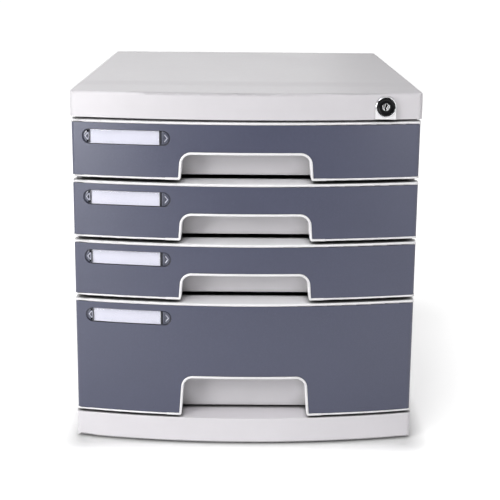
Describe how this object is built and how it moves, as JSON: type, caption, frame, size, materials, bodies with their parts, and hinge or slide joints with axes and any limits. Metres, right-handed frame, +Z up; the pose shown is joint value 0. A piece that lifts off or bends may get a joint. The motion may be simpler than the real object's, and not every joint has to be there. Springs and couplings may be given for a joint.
{
  "type": "desktop file drawer",
  "caption": "Desktop file cabinet with a bowed front, shallow drawers over a deep one, label windows, finger notches and a key lock that holds every drawer.",
  "frame": {"origin": "middle of the footprint, on the surface the feet stand on", "axes": "+X to the right of someone facing the drawers, +Y from the front to the back, +Z up"},
  "size_m": [0.3, 0.368, 0.316],
  "materials": {
    "shell_plastic": "fine satin texture, moulded light grey",
    "side_plastic": "fine satin texture, moulded light grey",
    "back_plastic": "fine matte texture, moulded grey",
    "cover_plastic": "fine satin texture, moulded light grey",
    "trim_plastic": "semi-gloss, moulded off-white",
    "panel_plastic": "semi-gloss slate grey with fine metal flakes",
    "tray_plastic": "satin, moulded grey",
    "label_paper": "matte card",
    "window_plastic": "clear moulded window",
    "foot_rubber": "matte rubber",
    "lock_black": "gloss black face",
    "lock_chrome": "polished chrome plate",
    "zinc_steel": "zinc-plated steel"
  },
  "bodies": {
    "cabinet": {"plinth": "shell_plastic", "feet": "foot_rubber", "left_side": "side_plastic", "right_side": "side_plastic", "back_panel": "back_plastic", "top_cover": "cover_plastic", "base_screws": "zinc_steel", "lock_seat": "trim_plastic", "lock_ring": "lock_chrome", "lock_barrel": "lock_black", "lock_nut": "zinc_steel"},
    "lock_core": {"lock_plug": "lock_chrome", "lock_cam": "zinc_steel"},
    "lock_bar": {"lock_bar": "zinc_steel"},
    "top_drawer": {"top_drawer_tray": "tray_plastic", "top_drawer_frame": "trim_plastic", "top_drawer_panel": "panel_plastic", "top_drawer_card": "label_paper", "top_drawer_window": "window_plastic", "top_drawer_screws": "zinc_steel"},
    "second_drawer": {"second_drawer_tray": "tray_plastic", "second_drawer_frame": "trim_plastic", "second_drawer_panel": "panel_plastic", "second_drawer_card": "label_paper", "second_drawer_window": "window_plastic", "second_drawer_screws": "zinc_steel"},
    "third_drawer": {"third_drawer_tray": "tray_plastic", "third_drawer_frame": "trim_plastic", "third_drawer_panel": "panel_plastic", "third_drawer_card": "label_paper", "third_drawer_window": "window_plastic", "third_drawer_screws": "zinc_steel"},
    "deep_drawer": {"deep_drawer_tray": "tray_plastic", "deep_drawer_frame": "trim_plastic", "deep_drawer_panel": "panel_plastic", "deep_drawer_card": "label_paper", "deep_drawer_window": "window_plastic", "deep_drawer_screws": "zinc_steel"}
  },
  "joints": [
    {"name": "top_drawer_slide", "type": "slide", "parent": "cabinet", "child": "top_drawer", "axis": [0, -1, 0], "range_m": [0, 0.25]},
    {"name": "second_drawer_slide", "type": "slide", "parent": "cabinet", "child": "second_drawer", "axis": [0, -1, 0], "range_m": [0, 0.25]},
    {"name": "third_drawer_slide", "type": "slide", "parent": "cabinet", "child": "third_drawer", "axis": [0, -1, 0], "range_m": [0, 0.25]},
    {"name": "deep_drawer_slide", "type": "slide", "parent": "cabinet", "child": "deep_drawer", "axis": [0, -1, 0], "range_m": [0, 0.25]},
    {"name": "lock_turn", "type": "hinge", "parent": "cabinet", "child": "lock_core", "pos_m": [0.1175, -0.165, 0.303], "axis": [0, 1, 0], "range_deg": [0, 90]},
    {"name": "lock_bar_slide", "type": "slide", "parent": "cabinet", "child": "lock_bar", "axis": [0, 0, 1], "range_m": [0, 0.00848]}
  ],
  "couplings": [
    {"joint": "lock_turn", "follows": "lock_bar_slide", "rad_per_m": 185.12}
  ]
}
